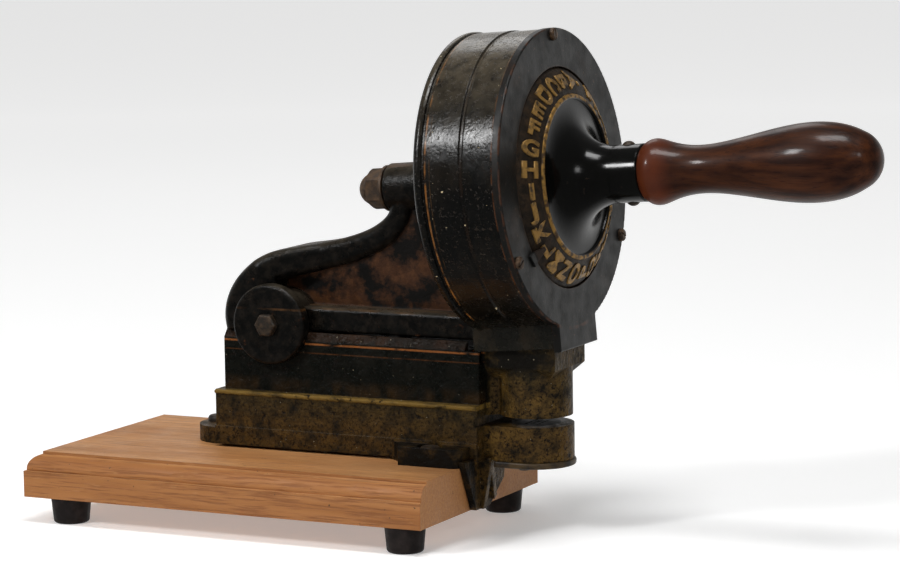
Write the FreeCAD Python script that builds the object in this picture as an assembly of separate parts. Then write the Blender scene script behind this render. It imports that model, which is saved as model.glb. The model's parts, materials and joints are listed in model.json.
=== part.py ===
import FreeCAD, Part
import math
import os

# Lever perforating press with a letter dial. Millimetres, +Z up, +X towards the handle.
# The press is drawn with X = 0, Y = 0 at the middle of the dial face, and heights from the
# surface that the rubber feet stand on. Every piece is then moved by the same step, so that the
# finished model has its origin under the middle of its overall box.

V = FreeCAD.Vector

# Feet and board
FOOT_H, FOOT_TOP_R, FOOT_LOW_R, FOOT_BORE_R = 14.2, 11.0, 9.8, 5.2
FOOT_X, FOOT_Y = (-263.0, -59.0), (-74.0, 44.0)
BOARD_X, BOARD_Y = (-285.5, -44.0), (-86.0, 57.0)
BOARD_T, MOULD_LOW, MOULD_IN = 24.4, 14.3, 7.8
BOARD_TOP = FOOT_H + BOARD_T

# Base casting
PAD_T = 1.5
BASE_Z = BOARD_TOP + PAD_T
PLINTH_X, PLINTH_HALF, LEDGE_Z = (-197.5, -39.2), 29.0, 70.1
PANEL_X, PANEL_HALF, PANEL_Z = (-193.2, -39.2), 25.0, 98.4
BAND_TOP = BASE_Z + 10.0
WALL = 5.0
HEEL_SEAT_Z = 103.2
KERB_END, KERB_IN = -47.6, 20.5
EAR_T, EAR_SCREW_X, EAR_SCREW_Y = 10.0, -63.6, 35.0
TONGUE_END, TONGUE_HALF, TONGUE_SCREW_X = -219.0, 22.0, -211.5
LUG_LOW = 14.6

# Press head of the base, with the paper throat
HEAD_X, HEAD_R, NECK_HALF = -17.6, 19.3, 11.0
JAW_R, JAW_TOP, THROAT_TOP = 20.0, 58.8, 63.5
HEAD_BORE = 13.0
BLOCK_X, BLOCK_HALF, BLOCK_Z = (-40.7, 2.0), 19.0, (90.0, 107.0)

# Lever pivot and return spring
PIVOT_X, PIVOT_Z = -162.3, 107.6
DISC_R, DISC_T, SHAFT_R, SHAFT_HALF, HUB_R = 21.8, 6.5, 8.0, 28.0, 18.0
ARM_HALF, HEEL_HALF = 10.5, 24.7
CHORD_Z, CHORD_HALF, WEB_HALF = (103.5, 116.7), 20.0, 6.0
SPRING_X, SPRING_R, SPRING_WIRE = -100.0, 7.2, 2.2
BRIDGE_Z = (52.0, 58.0)

# Dial, drum and handle. Their common axis rises towards the handle.
AXIS_Z, TILT = 189.6, 5.0
PLATE_R, PLATE_T, PLATE_HOLE_R = 78.5, 4.0, 58.1
TAB_HALF, TAB_LOW = 23.5, -89.2
DRUM_REAR, DRUM_R, BEAD_R, DRUM_WALL = -49.0, 78.6, 79.4, 8.0
SLEEVE_X, SLEEVE_HALF, SLEEVE_LOW = -51.4, 22.6, -87.4
BOSS_R, BOSS_END, SPINDLE_R, BUSH_R = 13.2, -102.0, 6.0, 9.0
WHEEL_S, WHEEL_R, BLOCK_R, LETTERS = -23.4, 58.0, 66.0, 28
BELL_R, TUBE_R, TUBE_END = 43.4, 15.2, 47.0
GRIP_END, GRIP_CAP_S, GRIP_CAP_R = 175.3, 166.0, 14.4
RUN = 0.05                      # radial clearance of a shaft that turns or slides in a bore
FACE_SCREW_R = 75.0

# Perforating pins, on a grid of three by five
PIN_R, PIN_PITCH, PIN_TIP, PIN_TOP = 0.9, 3.2, 64.0, 120.4
PIN_COLUMNS, PIN_ROWS = 3, 5
PIN_PLATE_Z = (110.0, 113.0)
GUIDE_TOP = 84.0


def box(x, y, z):
    return Part.makeBox(x[1] - x[0], y[1] - y[0], z[1] - z[0], V(x[0], y[0], z[0]))


def both(half):
    return (-half, half)


def rod(radius, start, end):
    start, end = V(*start), V(*end)
    return Part.makeCylinder(radius, (end - start).Length, start, end - start)


def outline(points, place):
    """Closed wire: a pair is a straight run, four numbers are an arc's middle and its end."""
    edges, here = [], points[0]
    for point in list(points[1:]) + [points[0]]:
        if len(point) == 4:
            middle, end = point[:2], point[2:]
            edges.append(Part.Arc(place(*here), place(*middle), place(*end)).toShape())
        else:
            end = point
            if math.dist(here, end) > 1e-6:
                edges.append(Part.LineSegment(place(*here), place(*end)).toShape())
        here = end
    return Part.Wire(edges)


def on_xz(x, z):
    return V(x, 0, z)


def spin(points):
    """Solid turned about the dial axis from a profile of (distance along it, radius)."""
    return Part.Face(outline(points, on_xz)).revolve(V(0, 0, 0), V(1, 0, 0), 360)


def cap_radius(reach, radius):
    return (reach ** 2 + radius ** 2) / (2 * reach)


def cap(join_s, join_r, tip_s):
    """Middle and end of the arc of a ball centred on the axis, from a rim to its tip."""
    way = math.copysign(1, tip_s - join_s)
    ball = cap_radius(abs(tip_s - join_s), join_r)
    centre = tip_s - way * ball
    half_turn = math.atan2(join_r, way * (join_s - centre)) / 2
    return (centre + way * ball * math.cos(half_turn), ball * math.sin(half_turn), tip_s, 0)


def slab_y(points, half, place=on_xz):
    """Plate of an outline in X and Z, with the same half thickness each side of Y = 0."""
    face = Part.Face(outline(points, place))
    face.translate(V(0, -half, 0))
    return face.extrude(V(0, 2 * half, 0))


def slab_x(points, x):
    face = Part.Face(outline(points, lambda y, z: V(x[0], y, z)))
    return face.extrude(V(x[1] - x[0], 0, 0))


def slab_z(points, z):
    face = Part.Face(outline(points, lambda x, y: V(x, y, z[0])))
    return face.extrude(V(0, 0, z[1] - z[0]))


def join(first, *others):
    return first.fuse(list(others)).removeSplitter()


def curve(points):
    line = Part.BSplineCurve()
    line.interpolate([on_xz(*point) for point in points])
    return line.toShape()


def coil(radius, wire, pitch, low, high):
    """Helical spring with its axis on Z, its ends inside the stated heights."""
    path = Part.makeHelix(pitch, high - low - 2 * wire, radius)
    slope = pitch / (2 * math.pi * radius)
    ring = Part.Wire(Part.makeCircle(wire, V(radius, 0, 0), V(0, 1, slope)))
    spring = Part.Wire(path).makePipeShell([ring], True, True)
    spring.translate(V(0, 0, low + wire))
    return spring


def tilted(shape):
    """Takes a shape from the dial axis frame to its place on the press."""
    shape = shape.copy()
    shape.rotate(V(0, 0, 0), V(0, 1, 0), -TILT)
    shape.translate(V(0, 0, AXIS_Z))
    return shape


def around(shape, angles):
    """Copies of a shape turned about the dial axis."""
    copies = []
    for angle in angles:
        one = shape.copy()
        one.rotate(V(0, 0, 0), V(1, 0, 0), angle)
        copies.append(one)
    return copies


def pan_screw(head_r, head_h, shank_r, length):
    """Slotted pan-head screw pointing down, its head resting on Z = 0."""
    head = Part.makeCylinder(head_r, head_h)
    head = head.makeFillet(head_h * 0.6, [max(head.Edges, key=lambda edge: edge.BoundBox.ZMax
                                              + edge.Length - 10 * (edge.BoundBox.ZLength > 0))])
    slot = box(both(head_r), both(head_r * 0.14), (head_h * 0.55, head_h + 1))
    return join(head.cut(slot), Part.makeCylinder(shank_r, length, V(0, 0, -length)))


def moved(shape, x, y, z):
    shape = shape.copy()
    shape.translate(V(x, y, z))
    return shape


# ---- Board and feet ----

def moulding(x_in, sign):
    """Half profile of the board's moulded edge, from the bottom up, going inwards."""
    low, top = FOOT_H, BOARD_TOP
    step = 1.4
    arc_end = (x_in + sign * MOULD_IN, top - 1.6)
    arc_start = (x_in + sign * step, low + MOULD_LOW)
    bulge = (arc_start[0] + sign * (MOULD_IN - step) * 0.26, low + MOULD_LOW + 5.9)
    return [(x_in, low), (x_in, low + MOULD_LOW), arc_start, bulge + arc_end,
            (x_in + sign * MOULD_IN, top)]


def wooden_board():
    near = moulding(BOARD_Y[0], 1)
    far = moulding(BOARD_Y[1], -1)
    low, top = FOOT_H, BOARD_TOP
    profile = near + [(BOARD_Y[1] - MOULD_IN, top), (BOARD_Y[1] - MOULD_IN, top - 1.6)]
    far_bulge, far_start = far[3][:2], far[2]
    profile += [far_bulge + far_start, far[1], far[0]]
    along = slab_x(profile, BOARD_X)
    left = moulding(BOARD_X[0], 1) + [(BOARD_X[1], top), (BOARD_X[1], low)]
    across = Part.Face(outline(left, lambda x, z: V(x, BOARD_Y[0], z)))
    across = across.extrude(V(0, BOARD_Y[1] - BOARD_Y[0], 0))
    board = along.common(across)
    for x in FOOT_X:
        for y in FOOT_Y:
            board = board.cut(Part.makeCylinder(1.8, 16, V(x, y, low)))
    for x, y in BASE_SCREWS:
        board = board.cut(Part.makeCylinder(2.4, 17, V(x, y, top - 17)))
    return board


def foot():
    round_r = 1.8
    bend = round_r * (1 - math.sqrt(0.5))
    profile = [(0, FOOT_LOW_R - round_r),
               (bend, FOOT_LOW_R - bend, round_r, FOOT_LOW_R), (FOOT_H, FOOT_TOP_R),
               (FOOT_H, 1.85), (6.0, 1.85), (6.0, FOOT_BORE_R), (0, FOOT_BORE_R)]
    shape = Part.Face(outline(profile, lambda z, r: V(r, 0, z)))
    return shape.revolve(V(0, 0, 0), V(0, 0, 1), 360)


def rubber_feet():
    return Part.makeCompound([moved(foot(), x, y, 0) for x in FOOT_X for y in FOOT_Y])


def foot_screws():
    screw = pan_screw(4.6, 2.6, 1.75, 22)
    screw.rotate(V(0, 0, 0), V(1, 0, 0), 180)
    return Part.makeCompound([moved(screw, x, y, 6.0) for x in FOOT_X for y in FOOT_Y])


# ---- Base casting ----

EAR_TOP = BOARD_TOP + EAR_T
BASE_SCREWS = ((TONGUE_SCREW_X, -2.0), (EAR_SCREW_X, -EAR_SCREW_Y), (EAR_SCREW_X, EAR_SCREW_Y))


def ears():
    """Three feet of the casting that take the wood screws."""
    tongue = slab_z([(PLINTH_X[0] + 6, -TONGUE_HALF), (PLINTH_X[0] - 3, -TONGUE_HALF),
                     (TONGUE_END + 2, -13, TONGUE_END, 0),
                     (TONGUE_END + 2, 13, PLINTH_X[0] - 3, TONGUE_HALF),
                     (PLINTH_X[0] + 6, TONGUE_HALF)], (BOARD_TOP, EAR_TOP - 1))
    shapes = [tongue]
    for side in (-1, 1):
        edge = 42.5
        ear = slab_z([(-92, side * 27), (-84, side * 33, -79, side * edge),
                      (-49, side * edge), (-44.8, side * 40.5, -43, side * 36),
                      (-43, side * 27)], (BOARD_TOP, EAR_TOP))
        shapes.append(ear)
    return shapes


def stop_lug():
    """Tapered lug that hooks over the sawn end of the board, with a rib down its middle."""
    front = -38.4
    plate = slab_x([(-42, BASE_Z + 2), (-28.5, LUG_LOW), (-12, LUG_LOW), (6, 27), (8, BASE_Z + 2)],
                   (BOARD_X[1] + 0.4, front - 1.6))
    rib = slab_y([(front - 2, BASE_Z + 2), (front - 2, LUG_LOW), (front, LUG_LOW),
                  (front + 5, BASE_Z + 2)], 1.8)
    rib.translate(V(0, -21.5, 0))
    far_rib = rib.copy()
    far_rib.rotate(V(0, -21.5, BASE_Z), V(1, 0, 0), 32)
    return [plate, rib, far_rib.common(box((-60, 0), both(60), (LUG_LOW, BASE_Z + 2)))]


def press_head():
    """Round head over the paper throat, its square top and the jaw under it."""
    head = Part.makeCylinder(HEAD_R, BLOCK_Z[1] - JAW_TOP, V(HEAD_X, 0, JAW_TOP))
    bevel = 6.4
    block = box(BLOCK_X, both(BLOCK_HALF), (BLOCK_Z[0] - bevel, BLOCK_Z[1]))
    block = block.makeChamfer(bevel - 0.2, [edge for edge in block.Edges if edge.BoundBox.ZMax
                                            < BLOCK_Z[0] and edge.BoundBox.XMax > BLOCK_X[0] + 1])
    neck = box((PANEL_X[1] - 3, HEAD_X), both(NECK_HALF), (JAW_TOP, BLOCK_Z[0]))
    jaw = slab_z([(PANEL_X[1] - 3, -JAW_R), (HEAD_X, -JAW_R),
                  (HEAD_X + JAW_R, 0, HEAD_X, JAW_R), (PANEL_X[1] - 3, JAW_R)], (BASE_Z, JAW_TOP))
    parts = [head, block, neck, jaw]
    corner = 6.0
    for side in (-1, 1):
        y = sorted((side * NECK_HALF, side * (NECK_HALF + corner)))
        filler = box((PANEL_X[1] - 1, PANEL_X[1] + corner), y, (JAW_TOP, BLOCK_Z[0] + 2))
        hollow = Part.makeCylinder(corner, BLOCK_Z[0], V(PANEL_X[1] + corner,
                                                         side * (NECK_HALF + corner), JAW_TOP - 1))
        parts.append(filler.cut(hollow))
    return parts


def base_casting():
    plinth = box(PLINTH_X, both(PLINTH_HALF - 0.8), (BASE_Z, LEDGE_Z))
    ledge = box((PLINTH_X[0] - 0.2, PLINTH_X[1]), both(PLINTH_HALF + 0.2), (LEDGE_Z - 2.4, LEDGE_Z))
    ledge = ledge.makeFillet(1.0, [edge for edge in ledge.Edges if edge.Length > 50])
    band = box((PLINTH_X[0] - 0.4, PLINTH_X[1] + 0.3), both(PLINTH_HALF), (BASE_Z, BAND_TOP))
    panel = box(PANEL_X, both(PANEL_HALF), (LEDGE_Z - 1, PANEL_Z))
    kerb = [slab_x([(side * PANEL_HALF, PANEL_Z - 1), (side * PANEL_HALF, PANEL_Z + 0.4),
                    (side * (PANEL_HALF - 3.6), HEEL_SEAT_Z), (side * KERB_IN, HEEL_SEAT_Z),
                    (side * KERB_IN, PANEL_Z - 1)], (PANEL_X[0], KERB_END)) for side in (-1, 1)]
    seat = box((PANEL_X[0], -186.5), both(21), (PANEL_Z - 1, HEEL_SEAT_Z))
    body = join(plinth, ledge, band, panel, seat, *kerb, *ears(), *stop_lug())

    cavity = box((PANEL_X[0] + WALL, PANEL_X[1] - WALL), both(PANEL_HALF - WALL), (0, PANEL_Z - WALL))
    cavity = cavity.cut(box((SPRING_X - 11, SPRING_X + 11), both(PANEL_HALF), BRIDGE_Z))
    body = body.cut(cavity)
    hub_slot = box((PIVOT_X - HUB_R - 1.5, PIVOT_X + HUB_R + 1.5), both(KERB_IN - 0.1),
                   (PANEL_Z - 20, PANEL_Z + 9))
    body = body.cut(hub_slot)
    well = box((KERB_END, PANEL_X[1] + 1), both(23.5), (91, PANEL_Z + 1))
    body = body.cut(well)
    body = join(body, *press_head())

    throat = box((-40.8, 12), both(40), (JAW_TOP, THROAT_TOP))
    bores = [Part.makeCylinder(HEAD_BORE, 60, V(HEAD_X, 0, THROAT_TOP)),
             Part.makeCylinder(HEAD_BORE, 3.2, V(HEAD_X, 0, JAW_TOP - 3.2)),
             Part.makeCylinder(HEAD_BORE - 2, 12, V(HEAD_X, 0, JAW_TOP - 15)),
             Part.makeCylinder(HEAD_BORE - 2, 8, V(HEAD_X, 0, BASE_Z - 1)),
             Part.makeCylinder(SPRING_R + 2.6, 12, V(SPRING_X, 0, PANEL_Z - 8)),
             Part.makeCylinder(3.05, 12, V(SPRING_X, 0, BRIDGE_Z[0] - 1)),
             rod(SHAFT_R, (PIVOT_X, -30, PIVOT_Z), (PIVOT_X, 30, PIVOT_Z))]
    bores += [Part.makeCylinder(3.0, 30, V(x, y, BOARD_TOP - 5)) for x, y in BASE_SCREWS]
    bores += [Part.makeCylinder(7.0, 9, V(x, y, EAR_TOP - 3.4)) for x, y in BASE_SCREWS[1:]]
    bores += [Part.makeCylinder(1.5, 10, V(HEAD_X, y, BASE_Z - 1)) for y in (-16, 16)]
    return body.cut([throat] + bores)


def base_screws():
    screw = pan_screw(5.6, 3.4, 2.4, 22)
    seats = (EAR_TOP - 1, EAR_TOP - 3.4, EAR_TOP - 3.4)
    return Part.makeCompound([moved(screw, x, y, z) for (x, y), z in zip(BASE_SCREWS, seats)])


# ---- Pivot of the lever ----

def pivot_shaft():
    """Hollow shaft whose ends sit in the discs on the outside of the casting."""
    shaft = rod(SHAFT_R, (PIVOT_X, -SHAFT_HALF, PIVOT_Z), (PIVOT_X, SHAFT_HALF, PIVOT_Z))
    return shaft.cut(rod(3.0, (PIVOT_X, -30, PIVOT_Z), (PIVOT_X, 30, PIVOT_Z)))


def pivot_disc(side):
    disc = rod(DISC_R, (PIVOT_X, side * PANEL_HALF, PIVOT_Z),
               (PIVOT_X, side * (PANEL_HALF + DISC_T), PIVOT_Z))
    outer = [edge for edge in disc.Edges if edge.BoundBox.YLength < 0.01
             and abs(edge.BoundBox.Center.y) > PANEL_HALF + 1]
    disc = disc.makeFillet(2.0, outer)
    seat = rod(SHAFT_R, (PIVOT_X, -SHAFT_HALF, PIVOT_Z), (PIVOT_X, SHAFT_HALF, PIVOT_Z))
    return disc.cut([seat, rod(3.2, (PIVOT_X, -50, PIVOT_Z), (PIVOT_X, 50, PIVOT_Z))])


def pivot_bolt(side):
    """Hexagon bolt that draws a pivot disc onto the end of the shaft."""
    start, head_h, corner_r = side * (PANEL_HALF + DISC_T), 4.0, 6.4
    corners = [(PIVOT_X + corner_r * math.cos(math.radians(60 * k)),
                PIVOT_Z + corner_r * math.sin(math.radians(60 * k))) for k in range(6)]
    head = slab_y(corners, head_h / 2)
    head.translate(V(0, start + side * head_h / 2, 0))
    head = head.makeChamfer(0.7, [edge for edge in head.Edges
                                  if abs(edge.BoundBox.Center.y - start) > head_h - 0.1])
    return join(head, rod(2.95, (PIVOT_X, start, PIVOT_Z), (PIVOT_X, side * 6.0, PIVOT_Z)))


# ---- Fittings inside the base ----

def pin_spots():
    for column in range(PIN_COLUMNS):
        for row in range(PIN_ROWS):
            yield (HEAD_X + (column - (PIN_COLUMNS - 1) / 2) * PIN_PITCH,
                   (row - (PIN_ROWS - 1) / 2) * PIN_PITCH)


def pin_holes(radius):
    return [Part.makeCylinder(radius, 120, V(x, y, 20)) for x, y in pin_spots()]


def pin_guide():
    body = Part.makeCylinder(HEAD_BORE, GUIDE_TOP - THROAT_TOP, V(HEAD_X, 0, THROAT_TOP))
    return body.cut(pin_holes(PIN_R + RUN))


def die_plate():
    plate = Part.makeCylinder(HEAD_BORE, 3.2, V(HEAD_X, 0, JAW_TOP - 3.2))
    return plate.cut(pin_holes(PIN_R + RUN))


COVER_T = 3.4


def chip_cover():
    """Thin plate that closes the chip hole under the jaw."""
    z = (BASE_Z - COVER_T, BASE_Z - 0.05)
    reach = JAW_R + 0.9
    rear = -33.2
    plate = slab_z([(rear, -reach), (HEAD_X, -reach), (HEAD_X + reach, 0, HEAD_X, reach),
                    (rear, reach)], z)
    plate = plate.makeFillet(1.0, [edge for edge in plate.Edges if edge.BoundBox.ZLength < 0.01])
    return plate.cut([Part.makeCylinder(1.6, 9, V(HEAD_X, y, 33)) for y in (-16, 16)])


def cover_screws():
    screw = pan_screw(3.0, 0.9, 1.45, 9)
    screw.rotate(V(0, 0, 0), V(1, 0, 0), 180)
    return Part.makeCompound([moved(screw, HEAD_X, y, BASE_Z - COVER_T) for y in (-16, 16)])


def spring_post():
    post = Part.makeCylinder(3.0, 34, V(SPRING_X, 0, BRIDGE_Z[0]))
    collar = Part.makeCylinder(6.5, 2, V(SPRING_X, 0, BRIDGE_Z[1]))
    return join(post, collar)


def return_spring():
    spring = coil(SPRING_R, SPRING_WIRE / 2, 4.4, BRIDGE_Z[1] + 2.1, CHORD_Z[0] - 0.2)
    return moved(spring, SPRING_X, 0, 0)


# ---- Perforating pins ----

def perforating_pins():
    pins = []
    for x, y in pin_spots():
        shank = Part.makeCylinder(PIN_R, PIN_TOP - PIN_TIP, V(x, y, PIN_TIP))
        head = Part.makeCylinder(1.45, 1.6, V(x, y, PIN_TOP - 1.6))
        pins.append(join(shank, head))
    return Part.makeCompound(pins)


def pin_plate():
    plate = Part.makeCylinder(HEAD_BORE - 0.6, PIN_PLATE_Z[1] - PIN_PLATE_Z[0],
                              V(HEAD_X, 0, PIN_PLATE_Z[0]))
    return plate.cut(pin_holes(PIN_R))


def pin_spring():
    spring = coil(10.4, 0.9, 4.6, GUIDE_TOP + 0.1, PIN_PLATE_Z[0] - 0.1)
    return moved(spring, HEAD_X, 0, 0)


# ---- Lever arm ----

def dial_point(s, t):
    """Place in X and Z of a point given along and above the dial axis."""
    angle = math.radians(TILT)
    return (s * math.cos(angle) - t * math.sin(angle),
            AXIS_Z + s * math.sin(angle) + t * math.cos(angle))


def arm_rim():
    """Heavy rounded rim: from the wide heel over the pivot, along the top and up to the boss."""
    low = HEEL_SEAT_Z + 0.2
    heel, hub_low, root = (-193.6, low), (PIVOT_X - 1, low), (-99.4, 174.0)
    back = curve([heel, (-193.2, 118.8), (-187.8, 129.4), (-180.0, 137.5), (-170.4, 144.0),
                  (-155.4, 148.2), (-136.7, 151.4), (-121.2, 155.5), (-112.0, 159.2),
                  (-105.4, 163.2), (-101.0, 167.6), root])
    inner = curve([(-87.0, 174.0), (-88.6, 164.0), (-95.0, 155.0), (-111.0, 144.6),
                   (-137.0, 136.2), (hub_low[0], 129.5)])
    edges = [back, Part.makeLine(on_xz(*root), on_xz(-87.0, 174.0)), inner,
             Part.makeLine(on_xz(hub_low[0], 129.5), on_xz(*hub_low)),
             Part.makeLine(on_xz(*hub_low), on_xz(*heel))]
    face = Part.Face(Part.Wire(edges))
    face.translate(V(0, -HEEL_HALF, 0))
    rim = face.extrude(V(0, 2 * HEEL_HALF, 0))
    wide, slim = (-172.0, HEEL_HALF), (-140.0, ARM_HALF)
    plan = slab_z([(-200, -wide[1]), (wide[0], -wide[1]), (slim[0], -slim[1]), (-80, -slim[1]),
                   (-80, slim[1]), slim, wide, (-200, wide[1])], (low - 1, 180))
    rim = rim.common(plan)
    long_edges = [edge for edge in rim.Edges if edge.BoundBox.ZLength > 3 and edge.Length > 25
                  and edge.BoundBox.YLength < 20 and edge.BoundBox.ZMax > low + 20
                  and edge.BoundBox.XLength > 3]
    return rim.makeFillet(5.0, long_edges)


def drum_envelope():
    """Room that the drum and its sleeve take, which the arm casting ends against."""
    drum = Part.makeCylinder(BEAD_R, -DRUM_REAR, V(DRUM_REAR, 0, 0), V(1, 0, 0))
    sleeve = box((SLEEVE_X, 0), both(SLEEVE_HALF), (SLEEVE_LOW - 6, -54))
    return tilted(drum.fuse(sleeve))


def arm_casting():
    web = slab_y([(-163, CHORD_Z[0]), (-40, CHORD_Z[0]), (-40, 165), (-85, 172), (-97, 160),
                  (-125, 145), (-163, 138)], WEB_HALF)
    chord = box((PIVOT_X + 2, -40), both(CHORD_HALF), CHORD_Z)
    chord = chord.makeFillet(2.2, [edge for edge in chord.Edges if edge.Length > 60])
    hub = rod(HUB_R, (PIVOT_X, -CHORD_HALF, PIVOT_Z), (PIVOT_X, CHORD_HALF, PIVOT_Z))
    flange_s = -56.0
    round_r = 5.0
    back = round_r * (1 - math.sqrt(0.5))
    boss = spin([(DRUM_REAR, BUSH_R), (DRUM_REAR, 38), (flange_s + 2, 38), (flange_s, 36),
                 (flange_s, BOSS_R + round_r),
                 (flange_s - back, BOSS_R + back, flange_s - round_r, BOSS_R),
                 (BOSS_END + 1, BOSS_R), (BOSS_END, BOSS_R - 1), (BOSS_END, BUSH_R)])
    arm = join(web, chord, hub, arm_rim(), tilted(boss))
    arm = arm.cut(drum_envelope())
    bore = tilted(Part.makeCylinder(BUSH_R, 80, V(-110, 0, 0), V(1, 0, 0)))
    pivot_bore = rod(SHAFT_R + RUN, (PIVOT_X, -30, PIVOT_Z), (PIVOT_X, 30, PIVOT_Z))
    set_hole = tilted(Part.makeCylinder(2.5, 12, V(-97.5, 0, -20), V(0, 0, 1)))
    holes = [tilted(one) for one in around(DRUM_SCREW_HOLE, DRUM_SCREW_ANGLES)]
    return arm.cut([bore, pivot_bore, set_hole] + holes)


DRUM_SCREW_ANGLES = (30, 150, 270)
DRUM_SCREW_HOLE = Part.makeCylinder(2.0, 14, V(-55, 0, 27), V(1, 0, 0))


def boss_bush():
    bush = spin([(BOSS_END, SPINDLE_R + RUN), (BOSS_END, BUSH_R), (DRUM_REAR + 4, BUSH_R),
                 (DRUM_REAR + 4, 13), (DRUM_REAR + 6, 13), (DRUM_REAR + 6, SPINDLE_R + RUN)])
    return tilted(bush)


def boss_set_screw():
    screw = Part.makeCylinder(2.5, 6.4, V(-97.5, 0, -15.4), V(0, 0, 1))
    slot = box((-101, -94), both(0.5), (-15.5, -14.2))
    return tilted(screw.cut(slot))


# ---- Drum shell and face plate ----

def drum_shell():
    """Cup of the drum with its front band, rear bead and the hollow sleeve under it."""
    front = -PLATE_T
    inner = DRUM_R - DRUM_WALL + 1.0
    back = DRUM_REAR
    band_r = PLATE_R - 0.4
    outer = spin([(front, 0), (front, band_r), (-20.6, band_r), (-21.4, DRUM_R - 0.9),
                  (-22.6, DRUM_R - 0.9), (-23.2, DRUM_R), (-42.4, DRUM_R), (-43, DRUM_R - 0.7),
                  (-44, DRUM_R - 0.7), (-44.4, DRUM_R + 0.3), (-46.8, BEAD_R, back, DRUM_R - 1.0),
                  (back, 0)])
    sleeve = box((SLEEVE_X, front), both(SLEEVE_HALF), (SLEEVE_LOW, -55))
    sleeve = sleeve.makeFillet(1.5, [edge for edge in sleeve.Edges if edge.BoundBox.ZLength > 20
                                     and edge.BoundBox.XMax < -10])
    shell = join(outer, sleeve)
    hollow = Part.makeCylinder(inner, front + 1 - (back + 4), V(back + 4, 0, 0), V(1, 0, 0))
    room = box((-49.4, front + 1), both(20.4), (-100, -58))
    low_room = box((-50.0, front + 1), both(20.4), (-100, -79))
    axle = Part.makeCylinder(BUSH_R, 20, V(back - 5, 0, 0), V(1, 0, 0))
    holes = around(DRUM_SCREW_HOLE, DRUM_SCREW_ANGLES)
    holes += around(Part.makeCylinder(1.5, 12, V(front - 10, 0, FACE_SCREW_R), V(1, 0, 0)),
                    FACE_SCREW_ANGLES)
    return tilted(shell.cut([hollow, room, low_room, axle] + holes))


FACE_SCREW_ANGLES = (0, 120, 240)


def drum_screws():
    screw = pan_screw(3.8, 2.4, 1.95, 8.5)
    screw.rotate(V(0, 0, 0), V(0, 1, 0), 90)
    screw.translate(V(DRUM_REAR + 4, 0, 27))
    return Part.makeCompound([tilted(one) for one in around(screw, DRUM_SCREW_ANGLES)])


def face_plate():
    """Flat ring with a square tab below and a small wedge that points at the chosen letter."""
    ring = Part.makeCylinder(PLATE_R, PLATE_T, V(-PLATE_T, 0, 0), V(1, 0, 0))
    tab = box((-PLATE_T, 0), both(TAB_HALF), (TAB_LOW, -60))
    plate = join(ring, tab)
    plate = plate.makeFillet(0.9, [edge for edge in plate.Edges if edge.BoundBox.XMin > -0.01])
    plate = plate.cut(Part.makeCylinder(PLATE_HOLE_R, 20, V(-10, 0, 0), V(1, 0, 0)))
    holes = around(Part.makeCylinder(1.6, 20, V(-10, 0, FACE_SCREW_R), V(1, 0, 0)),
                   FACE_SCREW_ANGLES)
    return tilted(plate.cut(holes))


def index_pointer():
    """Thin wedge soldered to the face plate, slanting over the edge of the letter ring."""
    strip = slab_y([(0.02, 63), (1.3, 63), (1.6, 59.4), (5.3, 53.4), (4.4, 53.0), (0.5, 58.6),
                    (0.02, 58.8)], 4.0)
    plan = slab_x([(-3.6, 63), (3.6, 63), (3.6, 60.5), (0.6, 52), (-0.6, 52), (-3.6, 60.5)], (-1, 7))
    return tilted(around(strip.common(plan), [POINTER_ANGLE])[0])


POINTER_ANGLE = 128


def face_screws():
    screw = pan_screw(3.4, 2.2, 1.45, 12)
    screw.rotate(V(0, 0, 0), V(0, 1, 0), 90)
    screw.translate(V(0, 0, FACE_SCREW_R))
    return Part.makeCompound([tilted(one) for one in around(screw, FACE_SCREW_ANGLES)])


def detent_leaf():
    """Bent leaf spring behind the wheel that clicks into its notches."""
    leaf = slab_y([(-45, 30), (-44.2, 30), (-44.2, 42), (-37.4, 52), (-36.6, 50.5, -36.2, 52.4),
                   (-38, 54), (-45, 43)], 4.0)
    return tilted(around(leaf, [-60])[0])


# ---- Dial, spindle and handle ----

def wheel_shape():
    front, rear = WHEEL_S + 10, WHEEL_S - 10
    web_front, web_rear = WHEEL_S + 3, WHEEL_S - 3
    bore = SPINDLE_R + RUN
    return spin([(DRUM_REAR + 6.3, bore), (DRUM_REAR + 6.3, 13), (web_rear, 13), (web_rear, 48),
                 (rear, 50), (rear, WHEEL_R), (front, WHEEL_R), (front, 50), (web_front, 48),
                 (web_front, 16), (-6, 16), (-6, bore)])


def punch_wheel():
    notch = Part.makeSphere(1.6, V(WHEEL_S - 10, 0, 54))
    step = 360 / LETTERS
    notches = around(notch, [step * index for index in range(LETTERS)])
    return tilted(wheel_shape().cut(notches))


def letter_blocks():
    """Hardened blocks round the wheel, one for each letter, that press on the pins."""
    block = box((WHEEL_S - 8, WHEEL_S + 8), both(4.4), (WHEEL_R + 0.05, BLOCK_R))
    block = block.makeChamfer(0.8, [edge for edge in block.Edges if edge.BoundBox.ZMin > BLOCK_R - 0.1])
    step = 360 / LETTERS
    return Part.makeCompound([tilted(one) for one in
                              around(block, [step * index for index in range(LETTERS)])])


def letter_dial():
    """Coned ring that carries the raised letters and closes the hole of the face plate."""
    edge_r = PLATE_HOLE_R - 0.4
    ring = spin([(-5.9, 30), (-5.9, 46), (-5.9, edge_r), (-1.2, edge_r), (-0.4, edge_r - 0.8),
                 (4.2, 50.6, 7.0, BELL_R + 0.1), (-0.1, BELL_R + 0.1), (-0.1, 30)])
    return tilted(ring)


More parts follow.
